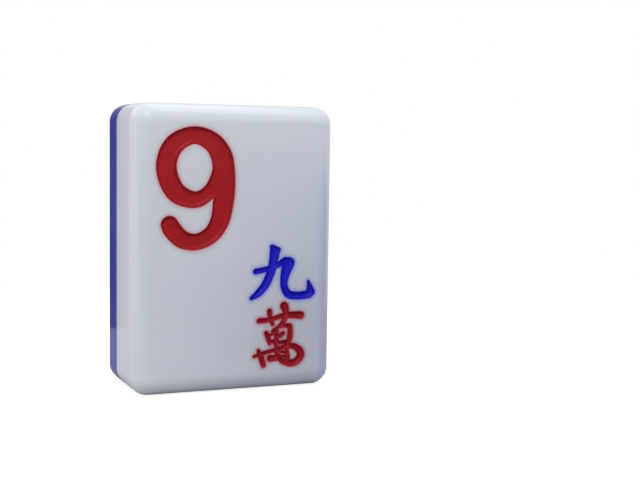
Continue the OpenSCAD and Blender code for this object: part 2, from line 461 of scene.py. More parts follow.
class Outline:
    """The closed lines of one engraved mark, in millimetres across and up the face.

    Each line runs with the pocket on its right, so the right-hand normals point into the pocket.
    """

    CORNER = math.radians(40)
    SPACING = 0.055
    SMOOTHING_PASSES = 2
    CELLS_PER_REACH = 6

    def __init__(self, lines: list[np.ndarray]) -> None:
        """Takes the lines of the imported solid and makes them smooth.

        Args:
            lines: The points of each closed line.
        """
        self.lines = [self._smooth(line) for line in lines]
        self.ways = [self._right(line) for line in self.lines]
        self.starts = np.concatenate(self.lines)
        self.ends = np.concatenate([np.roll(line, -1, 0) for line in self.lines])
        self.start_ways = np.concatenate(self.ways)
        self.end_ways = np.concatenate([np.roll(way, -1, 0) for way in self.ways])

    def _smooth(self, line: np.ndarray) -> np.ndarray:
        """Runs a curve through the points of a line, but keeps its corners.

        Args:
            line: The points of a closed line.

        Returns:
            Evenly spaced points along the curve, with each corner rounded by about their spacing.
        """
        leg = np.roll(line, -1, 0) - line
        length = np.linalg.norm(leg, axis=1, keepdims=True)
        leaving = leg / length
        arriving = np.roll(leaving, 1, 0)
        turn = np.arccos(np.clip((leaving * arriving).sum(1, keepdims=True), -1, 1))
        tangent = unit(leaving + arriving)
        leave = np.where(turn > self.CORNER, leaving, tangent)
        arrive = np.roll(np.where(turn > self.CORNER, arriving, tangent), -1, 0)
        points = []
        for i, start in enumerate(line):
            count = max(1, round(float(length[i, 0]) / self.SPACING))
            t = (np.arange(count) / count)[:, None]
            rise = 3 * t**2 - 2 * t**3
            bend = (t**3 - 2 * t**2 + t) * leave[i] + (t**3 - t**2) * arrive[i]
            points.append(start + rise * leg[i] + bend * length[i])
        curve = np.concatenate(points)
        for _ in range(self.SMOOTHING_PASSES):
            curve = (np.roll(curve, 1, 0) + 2 * curve + np.roll(curve, -1, 0)) / 4
        return curve

    @staticmethod
    def _right(line: np.ndarray) -> np.ndarray:
        """Gives the right-hand normal at each point of a closed line."""
        along = unit(np.roll(line, -1, 0) - np.roll(line, 1, 0))
        return np.stack([along[:, 1], -along[:, 0]], 1)

    def reach(self, points: np.ndarray, batch: int = 400) -> tuple[np.ndarray, np.ndarray]:
        """Measures how far points reach into the pocket.

        Args:
            points: Points on the face.
            batch: How many points are measured at a time.

        Returns:
            The distance from the outline, below zero outside the pocket, and the way it grows.
        """
        leg = self.ends - self.starts
        length = np.maximum((leg**2).sum(1), TINY)
        reaches, ways = [], []
        for part in np.array_split(points, max(1, len(points) // batch)):
            offset = part[:, None] - self.starts
            t = np.clip((offset * leg).sum(2) / length, 0, 1)
            gap = offset - t[..., None] * leg
            distance = np.einsum("ijk,ijk->ij", gap, gap)
            rows, nearest = np.arange(len(part)), distance.argmin(1)
            share = t[rows, nearest][:, None]
            way = unit((1 - share) * self.start_ways[nearest] + share * self.end_ways[nearest])
            side = np.sign((gap[rows, nearest] * way).sum(1))
            reaches.append(np.sqrt(distance[rows, nearest]) * np.where(side == 0, 1, side))
            ways.append(way)
        return np.concatenate(reaches), np.concatenate(ways)

    def rings(self, offsets: np.ndarray, slack: float = 0.03) -> np.ndarray:
        """Gives rows of points that run beside the outline.

        Args:
            offsets: The reach of each row.
            slack: Share of a row's reach by which a point may come nearer to another stretch of outline.

        Returns:
            The points, less those that another stretch of outline comes too near to.
        """
        rows = []
        for offset in offsets:
            row = self.starts + offset * self.start_ways
            cell = max(self.SPACING / 2, abs(offset) / self.CELLS_PER_REACH)
            _, kept = np.unique(np.round(row / cell).astype(int), axis=0, return_index=True)
            row = row[np.sort(kept)]
            reach, _ = self.reach(row)
            rows.append(row[reach / offset > 1 - slack])
        return np.concatenate(rows)


@dataclass(frozen=True)
class Sheet:
    """Triangles that cover a region of the face."""

    points: np.ndarray
    triangles: np.ndarray
    origins: dict[int, int]

    MERGED_WITHIN = 1e-6

    @classmethod
    def spread(cls, outline: np.ndarray, closed: list[int], inner: np.ndarray) -> "Sheet":
        """Covers the space inside the outermost points.

        Args:
            outline: Points of the closed lines, one line after another.
            closed: How many points each closed line has. A point past those is a loose one.
            inner: More points.

        Returns:
            The sheet, which knows the place of each point of the outline among its own.
        """
        edges, first = [], 0
        for count in closed:
            edges += [(first + i, first + (i + 1) % count) for i in range(count)]
            first += count
        points = [Vector(point) for point in np.concatenate([outline, inner])]
        made, _, triangles, sources, _, _ = delaunay_2d_cdt(points, edges, [], 0, cls.MERGED_WITHIN)
        origins = {source: i for i, given in enumerate(sources) for source in given}
        return cls(np.array([tuple(point) for point in made]), np.array(triangles), origins)

    def centres(self) -> np.ndarray:
        """Gives the middle of each triangle."""
        return self.points[self.triangles].mean(1)


def face_lines(sizes: TileSizes) -> list[np.ndarray]:
    """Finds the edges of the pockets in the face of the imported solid.

    Args:
        sizes: The sizes of the tile.

    Returns:
        The points of each closed line, in millimetres, with the pocket on the line's right.
    """
    points = node_points("face_block")
    places, merged = np.unique(np.round(points / SNAP).astype(int), axis=0, return_inverse=True)
    merged = merged.ravel()
    on_face = np.abs(points[:, 1] - sizes.face_y) < SNAP
    edges = set()
    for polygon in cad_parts["face_block"].data.polygons:
        if all(on_face[corner] for corner in polygon.vertices):
            corners = [merged[corner] for corner in polygon.vertices]
            for edge in zip(corners, corners[1:] + corners[:1]):
                if edge[::-1] in edges:
                    edges.remove(edge[::-1])
                else:
                    edges.add(edge)
    following, lines = dict(edges), []
    while following:
        start, corner = following.popitem()
        line = [start]
        while corner != start:
            line.append(corner)
            corner = following.pop(corner)
        lines.append(places[line][:, [0, 2]] * SNAP / MM)
    lines.sort(key=lambda line: np.ptp(line[:, 0]))
    return lines[:-1]


def lines_within(lines: list[np.ndarray], node: str) -> list[np.ndarray]:
    """Picks the lines that lie within a node's box, seen from the front.

    Args:
        lines: The points of each closed line, in millimetres.
        node: The node's name.

    Returns:
        The lines within its box.
    """
    low, high = (np.array([corner.x, corner.z]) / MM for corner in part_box(node))
    return [line for line in lines if np.all(line.mean(0) > low) and np.all(line.mean(0) < high)]


def on_face(plan: np.ndarray, depth: np.ndarray, sizes: TileSizes) -> np.ndarray:
    """Turns places on the face into points of the tile.

    Args:
        plan: Places across and up the face, in millimetres.
        depth: Depth of each place below the face, in millimetres.
        sizes: The sizes of the tile.

    Returns:
        The points, in metres.
    """
    return np.stack([plan[:, 0] * MM, sizes.face_y + depth * MM, plan[:, 1] * MM], 1)


def tilted(ways: np.ndarray, slope: np.ndarray) -> np.ndarray:
    """Gives the normals of a surface that sinks into the face.

    Args:
        ways: The way in which it sinks at each point.
        slope: How steeply it sinks there.

    Returns:
        The normal at each point.
    """
    return unit(np.stack([slope * ways[:, 0], -np.ones(len(ways)), slope * ways[:, 1]], 1))


def dressed(surface: Surface, name: str, node: str, material: bpy.types.Material, slot: str,
            marks: dict | None = None) -> bpy.types.Object:
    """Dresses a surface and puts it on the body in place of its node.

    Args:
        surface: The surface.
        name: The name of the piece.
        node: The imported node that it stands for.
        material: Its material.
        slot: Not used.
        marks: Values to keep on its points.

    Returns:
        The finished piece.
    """
    piece = surface.make(name, marks)
    piece.data.materials.append(material)
    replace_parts(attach(piece, BODY), node)
    log.info("%s: %d faces", name, len(piece.data.polygons))
    return piece


@dataclass
class Layer:
    """One layer of the tile, with its rounded edges and its half of the groove at the seam."""

    name: str
    node: str
    outer_y: float
    sizes: TileSizes
    tree: LayerTree
    material: bpy.types.Material
    slot: str
    open_face: bool = False

    def shell(self) -> tuple[np.ndarray, list, list]:
        """Makes the rounded shell.

        Returns:
            Its points, its faces, and the normals of the corners of each face.
        """
        sizes = self.sizes
        points, faces = self.tree.bake({
            "Core Width": float(sizes.core[0]), "Core Height": float(sizes.core[1]),
            "Foot To Middle": sizes.height / 2, "Outer": self.outer_y, "Seam": float(sizes.seam_y),
            "Edge Radius": float(sizes.edge_r), "Groove Half": float(sizes.groove_half),
            "Groove Depth": float(sizes.groove_d), "Open Face": self.open_face})
        return points, faces, [self._normals(points[list(face)]) for face in faces]

    def _normals(self, corners: np.ndarray) -> np.ndarray:
        """Gives the normals of one face: its own beside the seam, and those of the rounded block elsewhere.

        Args:
            corners: The corners of the face.

        Returns:
            The normal at each corner.
        """
        sizes = self.sizes
        if np.any(np.abs(corners[:, 1] - sizes.seam_y) < SNAP):
            flat = np.cross(corners[2] - corners[0], corners[3] - corners[1])
            return np.repeat(unit(flat)[None], len(corners), 0)
        low = np.array([-sizes.core[0], sizes.face_y + sizes.edge_r, sizes.edge_r])
        high = np.array([sizes.core[0], sizes.back_y - sizes.edge_r, sizes.height - sizes.edge_r])
        return unit(corners - np.clip(corners, low, high))

    def build(self) -> bpy.types.Object:
        """Makes the layer."""
        points, faces, normals = self.shell()
        return self.finish(Surface(points, faces, np.concatenate(normals)))

    def finish(self, surface: Surface, marks: dict | None = None) -> bpy.types.Object:
        """Dresses a surface as this layer."""
        return dressed(surface, self.name, self.node, self.material, self.slot, marks)


@dataclass
class EngravedLayer(Layer):
    """The white layer, whose face is open in the shell and closed by a sheet with the engraved pockets.

    Each outline has the colour of the painted highlight and glow round it, and a spread: how far past the
    outline, in millimetres, that painted glow stays as strong as at the rim.
    """

    # Reaches outside the outlines, in millimetres, of rows of points for the painted halo round the strokes.
    HALO_ROWS = np.array([-0.1, -0.25, -0.5])
    RIM_MARGIN = 0.05

    outlines: list[Outline] = field(default_factory=list)
    halo_colours: list[tuple] = field(default_factory=list)
    halo_spreads: list[float] = field(default_factory=list)
    engrave_d: float = 0.6

    def build(self) -> bpy.types.Object:
        """Makes the layer and joins the engraved sheet to the shell.

        Returns:
            The finished piece.
        """
        points, faces, normals = self.shell()
        halves = [(face[i], face[j], face[k]) for face in faces for i, j, k in ((0, 1, 2), (0, 2, 3))]
        rim = np.unique(open_edges(np.array(halves)))
        section = Section.pocket(self.engrave_d)
        plan = points[rim][:, [0, 2]] / MM
        rows = np.append(section.reaches[section.reaches != 0], self.HALO_ROWS)
        inner = np.concatenate([outline.rings(rows) for outline in self.outlines])
        low, high = plan.min(0) + self.RIM_MARGIN, plan.max(0) - self.RIM_MARGIN
        inner = inner[np.all((inner > low) & (inner < high), 1)]
        starts = np.concatenate([outline.starts for outline in self.outlines])
        counts = [len(line) for outline in self.outlines for line in outline.lines]
        sheet = Sheet.spread(starts, counts, np.concatenate([plan, inner]))

        reach, way, mark = self._reach(sheet.points)
        shift = len(points)
        place = np.arange(len(sheet.points)) + shift
        for i, corner in enumerate(rim):
            place[sheet.origins[len(starts) + i]] = corner
        sheet_normals = tilted(way, section.slope(reach))
        faces += [tuple(place[triangle]) for triangle in sheet.triangles]
        normals += list(sheet_normals[sheet.triangles])
        points = np.concatenate([points, on_face(sheet.points, section.depth(reach), self.sizes)])
        surface, kept = used_only(points, faces, np.concatenate(normals))
        # The painted highlight and glow round the strokes: each point's distance past its outline's spread,
        # and the enamel's lighter colour.
        away = np.maximum(-reach - np.array(self.halo_spreads)[mark], 0.0)
        from_stroke = np.concatenate([np.full(shift, self.sizes.height / MM), away])
        halo_colour = np.concatenate([np.tile(WHITE_PLASTIC.colour[:3], (shift, 1)), np.array(self.halo_colours)[mark]])
        return self.finish(surface, {"from_stroke": from_stroke[kept], "halo_colour": halo_colour[kept]})

    def _reach(self, points: np.ndarray) -> tuple[np.ndarray, np.ndarray, np.ndarray]:
        """Measures how far points reach into the nearest pocket.

        Args:
            points: Points on the face.

        Returns:
            The reach of each point, the way it grows, and which outline the pocket has.
        """
        found = [outline.reach(points) for outline in self.outlines]
        reaches = np.array([reach for reach, _ in found])
        ways = np.array([way for _, way in found])
        nearest = reaches.argmax(0)
        rows = np.arange(len(points))
        return reaches[nearest, rows], ways[nearest, rows], nearest


def used_only(points: np.ndarray, faces: list, normals: np.ndarray) -> tuple[Surface, list]:
    """Drops the points that no face uses.

    Args:
        points: All points.
        faces: The faces, by the places of their points.
        normals: The normal of each corner.

    Returns:
        The surface, and the places of its points among all of them.
    """
    used = sorted({corner for face in faces for corner in face})
    place = {corner: i for i, corner in enumerate(used)}
    return Surface(points[used], [tuple(place[corner] for corner in face) for face in faces], normals), used


def open_edges(triangles: np.ndarray) -> np.ndarray:
    """Finds the edges that only one triangle has.

    Args:
        triangles: The places of the corners of each triangle.

    Returns:
        The two corners of each edge, in the direction of its triangle.
    """
    edges = np.concatenate([triangles[:, [0, 1]], triangles[:, [1, 2]], triangles[:, [2, 0]]])
    _, found, counts = np.unique(np.sort(edges, 1), axis=0, return_index=True, return_counts=True)
    return edges[found[counts == 1]]


def part_crossings(triangles: np.ndarray, count: int) -> tuple[np.ndarray, np.ndarray]:
    """Gives triangles that meet others at a single point, and along no edge, a corner of their own there.

    Args:
        triangles: The places of the corners of each triangle.
        count: How many points there are.

    Returns:
        The triangles, and for each point, old or new, the old point that it lies on.
    """
    triangles, sources = triangles.copy(), list(range(count))
    corners, rim_edges = np.unique(open_edges(triangles)[:, 0], return_counts=True)
    for corner in corners[rim_edges > 1]:
        around = list(np.flatnonzero((triangles == corner).any(1)))
        fan = set(triangles[around.pop(0)]) - {corner}
        while joined := [row for row in around if fan & set(triangles[row])]:
            for row in joined:
                fan |= set(triangles[row]) - {corner}
                around.remove(row)
        triangles[around] = np.where(triangles[around] == corner, len(sources), triangles[around])
        sources.append(corner)
    return triangles, np.array(sources)


@dataclass
class EnamelCoat:
    """The dried enamel in the strokes of one mark, as a solid that sits in its pockets."""

    mark: Enamel
    outline: Outline
    section: Section
    sizes: TileSizes
    material: bpy.types.Material
    slot: str
    engrave_d: float

    def build(self) -> bpy.types.Object:
        """Makes the coat: a hollowed top, a flat underside and the walls between them.

        Returns:
            The finished piece.
        """
        counts = [len(line) for line in self.outline.lines]
        sheet = Sheet.spread(self.outline.starts, counts, self.outline.rings(self.section.reaches[1:]))
        centre_reach, _ = self.outline.reach(sheet.centres())
        top, sources = part_crossings(sheet.triangles[centre_reach > 0], len(sheet.points))
        plan = sheet.points[sources]
        reach, way = self.outline.reach(plan)
        shift = len(plan)
        points = np.concatenate([on_face(plan, self.section.depth(reach), self.sizes),
                                 on_face(plan, np.full(shift, self.engrave_d), self.sizes)])
        rim = open_edges(top)
        first, second = rim.T
        walls = np.stack([second, first, first + shift, second + shift], 1)
        faces = [tuple(face) for part in (top, top[:, ::-1] + shift, walls) for face in part.tolist()]
        outward = np.stack([-way[:, 0], np.zeros(shift), -way[:, 1]], 1)
        normals = np.concatenate([
            tilted(way, self.section.slope(reach))[top].reshape(-1, 3),
            np.tile([0.0, 1.0, 0.0], (3 * len(top), 1)),
            outward[np.stack([second, first, first, second], 1)].reshape(-1, 3)])
        from_wall = np.concatenate([np.maximum(reach, 0.0), np.zeros(shift)])
        surface, kept = used_only(points, faces, normals)
        node = self.mark.value
        marks = {"from_wall": from_wall[kept]}
        return dressed(surface, node + "_coat", node, self.material, self.slot, marks)


class Effects:
    """Shader effects that the finishes share, as node groups whose lengths are in millimetres."""

    SCRATCH_WAYS = (((0.2, 0.5, 0.1), (7.0, 9.0, 0.5)), ((0.1, -0.8, 0.9), (0.4, 8.0, 10.0)))
    SCRATCH_WIDTH = 0.012
    SCRATCH_ROUGHNESS = 0.25
    WORN_SCALE = 0.35
    WORN_RANGE = (0.5, 0.68)
    SMEAR_SCALE = 0.22
    SMEAR_DETAIL = 4.0
    SMEAR_RANGE = (0.42, 0.72)
    SMEAR_ROUGHNESS = 0.12
    CLOUD_DETAIL = 3.0
    GLOW_FALLOFF = 1.5

    def __init__(self) -> None:
        """Builds each group once."""
        self.handling = self._handling()
        self.specks = self._specks()
        self.clouds = self._clouds()
        self.painted_seam_glow = self._painted_seam_glow()

    @staticmethod
    def _group(name: str, inputs: dict, outputs: tuple) -> tuple[Graph, dict]:
        """Starts a group.

        Args:
            name: Its name.
            inputs: The value that each named input starts with.
            outputs: The names of its outputs.

        Returns:
            The group's graph and its input sockets, by name.
        """
        tree = bpy.data.node_groups.new(name, "ShaderNodeTree")
        tree.interface.new_socket("Place", in_out="INPUT", socket_type="NodeSocketVector")
        for key, value in inputs.items():
            socket = tree.interface.new_socket(key, in_out="INPUT", socket_type="NodeSocketFloat")
            socket.default_value = value
        for key in outputs:
            tree.interface.new_socket(key, in_out="OUTPUT", socket_type="NodeSocketFloat")
        graph = Graph(tree)
        return graph, graph.add("NodeGroupInput").outputs

    def _handling(self) -> bpy.types.NodeTree:
        """Makes fine scratches in two directions, and the faint smears that hands leave on a polish.

        Returns:
            The group.
        """
        graph, given = self._group("handling", {"Scratches": 0.5, "Smears": 0.5}, ("Roughness", "Height"))
        lines = []
        for turn, stretch in self.SCRATCH_WAYS:
            laid = graph.add("ShaderNodeMapping", {
                "Vector": given["Place"], "Rotation": turn, "Scale": stretch}).outputs[0]
            grain = graph.noise(laid, 1.0, 1.0)
            ridge = graph.math("ABSOLUTE", graph.math("SUBTRACT", grain, 0.5))
            lines.append(graph.span(ridge, 0.0, self.SCRATCH_WIDTH, to=(1.0, 0.0)))
        worn = graph.span(graph.noise(given["Place"], self.WORN_SCALE), *self.WORN_RANGE)
        scratch = graph.math("MULTIPLY", graph.math("MAXIMUM", *lines), worn)
        scratch = graph.math("MULTIPLY", scratch, given["Scratches"])
        haze = graph.noise(given["Place"], self.SMEAR_SCALE, self.SMEAR_DETAIL)
        smear = graph.span(haze, *self.SMEAR_RANGE)
        film = graph.math("MULTIPLY", smear, given["Smears"])
        rough = graph.math("ADD", graph.math("MULTIPLY", scratch, self.SCRATCH_ROUGHNESS),
                           graph.math("MULTIPLY", film, self.SMEAR_ROUGHNESS))
        graph.add("NodeGroupOutput", {"Roughness": rough, "Height": graph.math("MULTIPLY", scratch, -1.0)})
        return graph.tree

    def _specks(self) -> bpy.types.NodeTree:
        """Makes sparse specks: dust on the plastic, and painted glints in the enamel.

        Returns:
            The group.
        """
        graph, given = self._group("specks", {"Spacing": 2.4, "Speck": 0.06, "Bare": 0.6}, ("Mask",))
        cells = graph.add("ShaderNodeTexVoronoi", {"Vector": given["Place"],
                                                   "Scale": graph.math("DIVIDE", 1.0, given["Spacing"])})
        away = graph.math("MULTIPLY", cells.outputs["Distance"], given["Spacing"])
        speck = graph.math("LESS_THAN", away, given["Speck"])
        chosen = graph.math("GREATER_THAN", graph.add(
            "ShaderNodeSeparateColor", {0: cells.outputs["Color"]}).outputs[0], given["Bare"])
        graph.add("NodeGroupOutput", {"Mask": graph.math("MULTIPLY", speck, chosen)})
        return graph.tree

    def _clouds(self) -> bpy.types.NodeTree:
        """Makes broad, faint clouds in the body of a plastic or a coat of enamel, about a value of 1.

        Returns:
            The group.
        """
        graph, given = self._group("clouds", {"Size": 8.0, "Strength": 0.05}, ("Shade",))
        noise = graph.noise(given["Place"], graph.math("DIVIDE", 1.0, given["Size"]), self.CLOUD_DETAIL)
        swing = graph.math("MULTIPLY", graph.math("SUBTRACT", noise, 0.5), 2.0)
        graph.add("NodeGroupOutput", {"Shade": graph.math("MULTIPLY_ADD", swing, given["Strength"], 1.0)})
        return graph.tree

    def _painted_seam_glow(self) -> bpy.types.NodeTree:
        """Makes the mask of a band beside the seam, where a glow of light through the plastic is painted.

        Returns:
            The group.
        """
        graph, given = self._group("painted_seam_glow", {"Seam": 0.0, "Width": 0.5}, ("Mask",))
        y = graph.add("ShaderNodeSeparateXYZ", {0: given["Place"]}).outputs[1]
        away = graph.math("ABSOLUTE", graph.math("SUBTRACT", y, given["Seam"]))
        share = graph.math("DIVIDE", away, given["Width"])
        near = graph.math("SUBTRACT", 1.0, share, clamp=True)
        graph.add("NodeGroupOutput", {"Mask": graph.math("POWER", near, self.GLOW_FALLOFF)})
        return graph.tree


class Finish:
    """Starts a material whose patterns are laid out in millimetres of the tile."""

    def __init__(self, name: str) -> None:
        """Makes the material.

        Args:
            name: Its name.
        """
        self.material = bpy.data.materials.new(name)
        self.graph = Graph.of(self.material)
        place = self.graph.add("ShaderNodeTexCoord").outputs["Object"]
        self.place = self.graph.add("ShaderNodeMapping", {
            "Vector": place, "Scale": (1 / MM, 1 / MM, 1 / MM)}).outputs[0]

    def effect(self, group: bpy.types.NodeTree, **values: float) -> bpy.types.bpy_prop_collection:
        """Places one of the shared effects.

        Args:
            group: The effect.
            **values: Its values here.

        Returns:
            Its outputs.
        """
        node = self.graph.add("ShaderNodeGroup", node_tree=group)
        self.graph.tree.links.new(self.place, node.inputs["Place"])
        for name, value in values.items():
            node.inputs[name].default_value = value
        return node.outputs

    def close(self, inputs: dict) -> bpy.types.Material:
        """Adds the shader and the output.

        Args:
            inputs: The shader's inputs.

        Returns:
            The finished material.
        """
        shader = self.graph.add("ShaderNodeBsdfPrincipled", inputs)
        self.graph.add("ShaderNodeOutputMaterial", {"Surface": shader.outputs[0]})
        return self.material


@dataclass(frozen=True)
class PolishedPlastic:
    """A cast and tumbled plastic, a little translucent, with the marks of handling."""

    name: str
    slot: str
    colour: tuple
    # Colour and width of a painted glow beside the seam.
    seam_glow_colour: tuple
    seam_width: float
    dust_colour: tuple
    roughness: float
    translucence: float
    glow_radius: tuple
    clouds: float
    # Width of a painted highlight along the strokes' rims, and reach of a painted glow past them, in
    # millimetres.
    halo_rim_width: float = 0.0
    halo_reach: float = 0.0

    WEAR = 0.6
    DUST_COVER = 0.7
    DUST_ROUGHNESS = 0.3
    DUST_HEIGHT = 3.0
    BUMP_STRENGTH = 0.25
    BUMP_MM = 0.004
    IOR = 1.5
    HALO_SCALE = 2.5
    RIM_COVER = 0.9
    GLOW_COVER = 0.58
    GLOW_FALLOFF = 1.4

    def material(self, effects: Effects, seam: float) -> bpy.types.Material:
        """Makes the material.

        Args:
            effects: The shared effects.
            seam: Place of the seam through the tile, in millimetres.

        Returns:
            The finished material.
        """
        finish = Finish(self.name)
        graph = finish.graph
        wear = finish.effect(effects.handling, Scratches=self.WEAR, Smears=self.WEAR)
        specks = finish.effect(effects.specks)["Mask"]
        cloud = finish.effect(effects.clouds, Strength=self.clouds)["Shade"]
        # Painted glow beside the seam: the band takes the seam colour, as light through the plastic would
        # tint it.
        glow = finish.effect(effects.painted_seam_glow, Seam=seam, Width=self.seam_width)["Mask"]
        body = graph.blend(glow, graph.shaded(self.colour, cloud), self.seam_glow_colour)
        # Painted highlight and glow round the strokes.
        if self.halo_rim_width:
            body = self._haloed(finish, body)
        colour = graph.blend(graph.math("MULTIPLY", specks, self.DUST_COVER), body, self.dust_colour)
        rough = graph.math("ADD", graph.math("ADD", wear["Roughness"], self.roughness),
                           graph.math("MULTIPLY", specks, self.DUST_ROUGHNESS))
        height = graph.math("ADD", wear["Height"], graph.math("MULTIPLY", specks, self.DUST_HEIGHT))
        bump = graph.add("ShaderNodeBump", {
            "Height": height, "Strength": self.BUMP_STRENGTH, "Distance": self.BUMP_MM * MM})
        return finish.close({
            "Base Color": colour, "Roughness": rough, "Normal": bump.outputs[0],
            "Subsurface Weight": self.translucence, "Subsurface Radius": self.glow_radius,
            "Subsurface Scale": MM, "IOR": self.IOR})

    def _haloed(self, finish: Finish, body: bpy.types.NodeSocket) -> bpy.types.NodeSocket:
        """Paints a highlight along the rims of the strokes and a glow past them, tinted with the enamel's
        colour, as light through the plastic.

        Args:
            finish: The material's finish.
            body: The colour without the stain.

        Returns:
            The colour with it.
        """
        graph = finish.graph
        away = graph.add("ShaderNodeAttribute", attribute_name="from_stroke").outputs["Fac"]
        halo_colour = graph.add("ShaderNodeAttribute", attribute_name="halo_colour").outputs["Color"]
        width = graph.math("MULTIPLY", graph.noise(finish.place, self.HALO_SCALE), 2 * self.halo_rim_width)
        rim = graph.span(away, 0.0, width, to=(self.RIM_COVER, 0.0))
        near = graph.span(away, 0.0, self.halo_reach, to=(self.GLOW_COVER, 0.0))
        glow = graph.math("POWER", near, self.GLOW_FALLOFF)
        return graph.blend(graph.math("MAXIMUM", rim, glow), body, halo_colour)


@dataclass(frozen=True)
class DriedEnamel:
    """Enamel that has dried in a stroke: nearly level and lighter on the floor, with painted shade down the
    walls and painted glints at their foot.
    """

    name: str
    slot: str
    colour: tuple
    # Colour of the painted shade down the walls, and of the painted glints and the painted halo round the
    # strokes.
    wall_shade_colour: tuple
    painted_light_colour: tuple
    wall_width: float = 0.27
    # How far past the outline the painted halo stays at full strength, in millimetres.
    halo_spread: float = 0.0
    roughness: float = 0.4

    SKIN_SCALE = 5.0
    SKIN_SWAY = 0.12
    SKIN_ROUGHNESS = 0.2
    WALL_RANGE = (0.8, 1.15)
    CLOUD = {"Size": 1.1, "Strength": 0.14}
    FLECK = {"Spacing": 0.3, "Speck": 0.055, "Bare": 0.3}
    FLECK_RANGE = (0.04, 0.12)
    FLECK_COVER = 0.7
    BUMP_STRENGTH = 0.5
    BUMP_MM = 0.03
    SPECULAR = 0.2

    def material(self, effects: Effects) -> bpy.types.Material:
        """Makes the material.

        Args:
            effects: The shared effects.

        Returns:
            The finished material.
        """
        finish = Finish(self.name)
        graph = finish.graph
        reach = graph.add("ShaderNodeAttribute", attribute_name="from_wall").outputs["Fac"]
        skin = graph.noise(finish.place, self.SKIN_SCALE)
        uneven = graph.math("MULTIPLY_ADD", graph.math("SUBTRACT", skin, 0.5), self.SKIN_SWAY, reach)
        # Painted shade down the walls: the wall colour within about the wall width, with a ragged edge.
        wall = graph.span(uneven, *(share * self.wall_width for share in self.WALL_RANGE), to=(1.0, 0.0))
        cloud = finish.effect(effects.clouds, **self.CLOUD)["Shade"]
        body = graph.blend(wall, graph.shaded(self.colour, cloud), self.wall_shade_colour)
        # Painted glints: light specks in a band at the foot of the walls.
        foot = graph.math("ABSOLUTE", graph.math("SUBTRACT", reach, self.wall_width))
        at_foot = graph.span(foot, *self.FLECK_RANGE, to=(1.0, 0.0))
        fleck = finish.effect(effects.specks, **self.FLECK)["Mask"]
        glints = graph.math("MULTIPLY", graph.math("MULTIPLY", fleck, at_foot), self.FLECK_COVER)
        colour = graph.blend(glints, body, self.painted_light_colour)
        least = self.roughness - self.SKIN_ROUGHNESS / 2
        rough = graph.math("MULTIPLY_ADD", skin, self.SKIN_ROUGHNESS, least)
        bump = graph.add("ShaderNodeBump", {
            "Height": skin, "Strength": self.BUMP_STRENGTH, "Distance": self.BUMP_MM * MM})
        return finish.close({
            "Base Color": colour, "Roughness": rough, "Normal": bump.outputs[0],
            "Specular IOR Level": self.SPECULAR})


@dataclass(frozen=True)
class PhotoView:
    """The camera, with the place, angles and lens that a fit to the photograph gave."""

    place: tuple = (-0.03974, -0.11977, 0.02563)
    yaw: float = 23.345
    pitch: float = 4.86
    roll: float = 0.854
    lens: float = 65.31

    CLIP = (0.005, 10.0)

    def build(self) -> None:
        """Makes the camera and looks through it."""
        yaw, pitch, roll = (math.radians(angle) for angle in (self.yaw, self.pitch, self.roll))
        ahead = Vector((math.sin(yaw) * math.cos(pitch), math.cos(yaw) * math.cos(pitch), -math.sin(pitch)))
        right = Vector((math.cos(yaw), -math.sin(yaw), 0.0))
        up = right.cross(ahead)
        across = math.cos(roll) * right + math.sin(roll) * up
        above = math.cos(roll) * up - math.sin(roll) * right
        turn = Matrix((across, above, -ahead)).transposed().to_4x4()
        data = bpy.data.cameras.new("camera")
        data.lens = self.lens
        data.clip_start, data.clip_end = self.CLIP
        camera = bpy.data.objects.new("camera", data)
        camera.matrix_world = Matrix.Translation(Vector(self.place)) @ turn
        bpy.context.scene.collection.objects.link(camera)
        bpy.context.scene.camera = camera


@dataclass(frozen=True)
class SoftLamp:
    """A soft box that faces the tile."""

    name: str
    place: tuple
    width: float
    depth: float
    radiance: float
    gloss: float = 1.0

    def build(self, target: Vector) -> None:
        """Makes the lamp.

        Args:
            target: The point that it faces.
        """
        data = bpy.data.lights.new(self.name, "AREA")
        data.shape = "RECTANGLE"
        data.size, data.size_y = self.width, self.depth
        data.energy = self.radiance * math.pi * self.width * self.depth
        data.specular_factor = self.gloss
        lamp = bpy.data.objects.new(self.name, data)
        lamp.location = self.place
        lamp.rotation_euler = (target - lamp.location).to_track_quat("-Z", "Y").to_euler()
        bpy.context.scene.collection.objects.link(lamp)


def staged_sheet(name: str, corners: list, material: bpy.types.Material) -> bpy.types.Object:
    """Makes a flat sheet of the setting.

    Args:
        name: Its name.
        corners: Its four corners.
        material: Its material.

    Returns:
        The sheet.
    """
    mesh = bpy.data.meshes.new(name)
    mesh.from_pydata(corners, [], [(0, 1, 2, 3)])
    mesh.materials.append(material)
    sheet = bpy.data.objects.new(name, mesh)
    bpy.context.scene.collection.objects.link(sheet)
    return sheet


@dataclass(frozen=True)
class FlagCard:
    """A dark card that stands on the floor out of sight, as a photographer flags a pale object.

    It shows in the tile's polish, fades to white at its top, is paler to the left of a line where it is
    asked to be, and keeps light off the tile where it is asked to.
    """

    name: str
    start: tuple
    end: tuple
    top: float
    colour: tuple
    fade: float = 0.001
    paler_left_of: float = -1.0
    takes_light: bool = False

    PALER = (0.55, 0.56, 0.58, 1.0)
    PALER_FADE = 0.0025

    def build(self) -> None:
        """Makes the card."""
        material = bpy.data.materials.new(self.name)
        graph = Graph.of(material)
        place = graph.add("ShaderNodeTexCoord").outputs["Object"]
        x, _, z = graph.add("ShaderNodeSeparateXYZ", {0: place}).outputs
        to_right = graph.span(x, self.paler_left_of, self.paler_left_of + self.PALER_FADE)
        to_top = graph.span(z, self.top - self.fade, self.top)
        shade = graph.blend(to_right, self.PALER, self.colour)
        glow = graph.add("ShaderNodeEmission", {"Color": graph.blend(to_top, shade, WHITE)})
        graph.add("ShaderNodeOutputMaterial", {"Surface": glow.outputs[0]})
        corners = [(*self.start, 0.0), (*self.end, 0.0), (*self.end, self.top), (*self.start, self.top)]
        card = staged_sheet(self.name, corners, material)
        card.visible_camera = card.visible_shadow = card.visible_transmission = False
        card.visible_diffuse = self.takes_light


